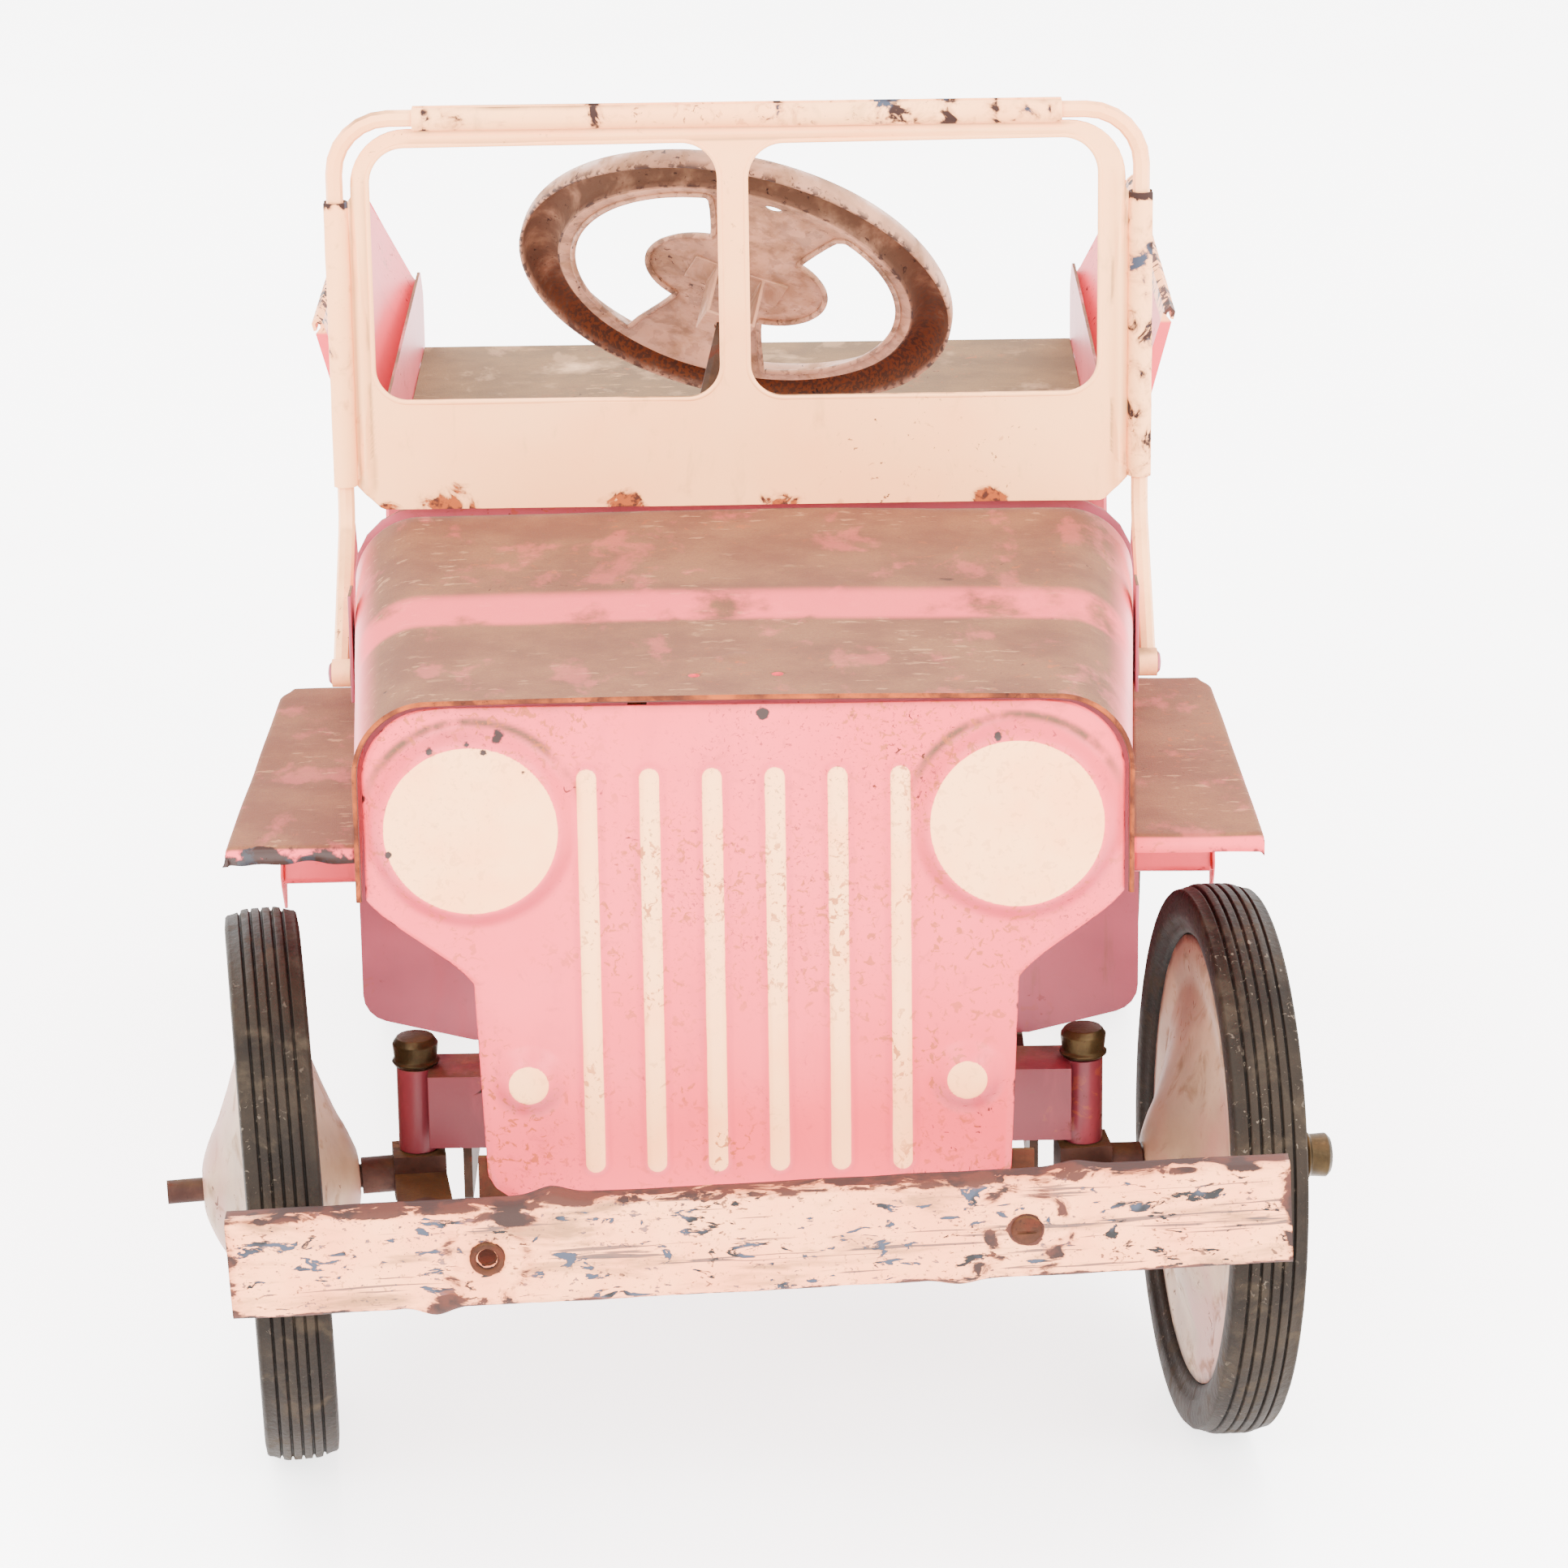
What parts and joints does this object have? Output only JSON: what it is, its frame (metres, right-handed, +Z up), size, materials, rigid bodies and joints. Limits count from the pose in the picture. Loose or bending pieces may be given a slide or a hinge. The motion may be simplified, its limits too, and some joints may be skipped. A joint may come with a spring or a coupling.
{
  "type": "child's pedal car",
  "caption": "Worn pink and cream child's pedal car with a stamped slotted grille, flat fenders, a fold-down windshield frame and rubber-tyred disc wheels.",
  "frame": {"origin": "middle of the car's footprint, on the ground", "axes": "+X to the left-hand side as a driver sits, +Y towards the tail, -Y the front, +Z up"},
  "size_m": [0.5382, 0.9362, 0.5921],
  "materials": {
    "pink_paint": "worn gloss enamel under brown dust, rust at the edges",
    "cream_paint": "cream enamel, chipped to rust and bare steel",
    "wheel_paint": "dirty ivory enamel",
    "brown_paint": "dark brown paint with rust",
    "worn_steel": "dull rusty steel",
    "brass_plate": "dull yellow plating gone brown",
    "tyre_rubber": "dusty ribbed solid rubber",
    "pedal_rubber": "matt ribbed rubber"
  },
  "bodies": {
    "chassis": {"hood": "pink_paint", "grille_panel": "pink_paint", "firewall": "pink_paint", "dash_panel": "pink_paint", "rear_deck": "pink_paint", "rear_panel": "pink_paint", "seat_back": "pink_paint", "seat_pan": "pink_paint", "fender_left": "pink_paint", "fender_right": "pink_paint", "body_side_left": "pink_paint", "body_side_right": "pink_paint", "quarter_flare_left": "pink_paint", "quarter_flare_right": "pink_paint", "pivot_bracket_left": "pink_paint", "pivot_bracket_right": "pink_paint", "front_axle_beam": "pink_paint", "frame_rail_left": "worn_steel", "frame_rail_right": "worn_steel", "tub_hanger_left": "worn_steel", "tub_hanger_right": "worn_steel", "bumper": "cream_paint", "bumper_bolt": "worn_steel", "bumper_bracket_left": "worn_steel", "bumper_bracket_right": "worn_steel", "axle_bushing_left": "worn_steel", "axle_bushing_right": "worn_steel", "pedal_hanger": "worn_steel", "column_bearing": "worn_steel"},
    "windshield": {"windshield_panel": "cream_paint", "windshield_rod": "cream_paint"},
    "steering": {"steering_column": "worn_steel", "steering_wheel": "cream_paint", "steering_wheel_clip": "cream_paint"},
    "knuckle_l": {"knuckle_left": "brown_paint", "kingpin_cap_left": "brass_plate"},
    "knuckle_r": {"knuckle_right": "brown_paint", "kingpin_cap_right": "brass_plate", "front_axle_cap": "brass_plate", "front_washer": "worn_steel"},
    "tie_rod_link": {"tie_rod": "brown_paint"},
    "front_wheel_l": {"front_tyre_left": "tyre_rubber", "front_disc_left": "wheel_paint"},
    "front_wheel_r": {"front_tyre_right": "tyre_rubber", "front_disc_right": "wheel_paint"},
    "crank": {"rear_axle_crank": "worn_steel", "rear_tyre_left": "tyre_rubber", "rear_disc_left": "wheel_paint", "rear_axle_cap_left": "brass_plate", "rear_axle_cap_right": "brass_plate"},
    "rear_wheel_r": {"rear_tyre_right": "tyre_rubber", "rear_disc_right": "wheel_paint"},
    "push_rod_l": {"push_rod_left": "worn_steel"},
    "push_rod_r": {"push_rod_right": "worn_steel"},
    "pedal_l": {"pedal_arm_left": "worn_steel"},
    "pedal_r": {"pedal_arm_right": "worn_steel"},
    "tread_l": {"pedal_pad_left": "pedal_rubber"},
    "tread_r": {"pedal_pad_right": "pedal_rubber"}
  },
  "joints": [
    {"name": "windshield_fold", "type": "hinge", "parent": "chassis", "child": "windshield", "pos_m": [0, -0.1996, 0.339], "axis": [1, 0, 0], "range_deg": [0, 88]},
    {"name": "steering", "type": "hinge", "parent": "chassis", "child": "steering", "pos_m": [-0.001, -0.0096, 0.4844], "axis": [0.2077, 0.6791, 0.7041], "range_deg": [-42, 22]},
    {"name": "knuckle_left_turn", "type": "hinge", "parent": "chassis", "child": "knuckle_l", "pos_m": [-0.153, -0.2996, 0.12715], "axis": [0, 0, 1], "range_deg": [-25.2, 13.2]},
    {"name": "knuckle_right_turn", "type": "hinge", "parent": "chassis", "child": "knuckle_r", "pos_m": [0.153, -0.2996, 0.12715], "axis": [0, 0, 1], "range_deg": [-25.2, 13.2]},
    {"name": "tie_rod_swing", "type": "hinge", "parent": "knuckle_l", "child": "tie_rod_link", "pos_m": [-0.147, -0.35226, 0.12715], "axis": [0, 0, 1], "range_deg": [-13.2, 25.2]},
    {"name": "front_wheel_left_spin", "type": "hinge", "parent": "knuckle_l", "child": "front_wheel_l", "pos_m": [-0.21619, -0.3068, 0.12715], "axis": [-0.9931, -0.1132, -0.0305], "continuous": true},
    {"name": "front_wheel_right_spin", "type": "hinge", "parent": "knuckle_r", "child": "front_wheel_r", "pos_m": [0.21619, -0.2924, 0.12715], "axis": [0.9931, 0.1132, -0.0305], "continuous": true},
    {"name": "crank_spin", "type": "hinge", "parent": "chassis", "child": "crank", "pos_m": [0, 0.2954, 0.127], "axis": [1, 0, 0], "continuous": true},
    {"name": "rear_wheel_right_spin", "type": "hinge", "parent": "chassis", "child": "rear_wheel_r", "pos_m": [0.1935, 0.2954, 0.127], "axis": [1, 0, 0], "continuous": true},
    {"name": "push_rod_left_turn", "type": "hinge", "parent": "crank", "child": "push_rod_l", "pos_m": [-0.054, 0.2954, 0.087], "axis": [1, 0, 0], "continuous": true},
    {"name": "push_rod_right_turn", "type": "hinge", "parent": "crank", "child": "push_rod_r", "pos_m": [0.054, 0.2954, 0.167], "axis": [1, 0, 0], "continuous": true},
    {"name": "pedal_right_swing", "type": "hinge", "parent": "chassis", "child": "pedal_r", "pos_m": [0.0595, -0.0846, 0.3], "axis": [1, 0, 0], "range_deg": [-14, 14]},
    {"name": "pedal_left_swing", "type": "hinge", "parent": "chassis", "child": "pedal_l", "pos_m": [-0.0595, -0.0846, 0.3], "axis": [1, 0, 0], "range_deg": [-14, 14]},
    {"name": "tread_right_tilt", "type": "hinge", "parent": "pedal_r", "child": "tread_r", "pos_m": [0.0595, -0.0846, 0.103], "axis": [1, 0, 0], "range_deg": [-25, 25]},
    {"name": "tread_left_tilt", "type": "hinge", "parent": "pedal_l", "child": "tread_l", "pos_m": [-0.0595, -0.0846, 0.103], "axis": [1, 0, 0], "range_deg": [-25, 25]}
  ],
  "couplings": [
    {"joint": "knuckle_left_turn", "follows": "steering", "ratio": 0.6},
    {"joint": "knuckle_right_turn", "follows": "steering", "ratio": 0.6},
    {"joint": "tie_rod_swing", "follows": "steering", "ratio": -0.6},
    {"joint": "push_rod_left_turn", "follows": "crank_spin", "ratio": -1},
    {"joint": "push_rod_right_turn", "follows": "crank_spin", "ratio": -1},
    {"joint": "pedal_left_swing", "follows": "pedal_right_swing", "ratio": -1}
  ]
}
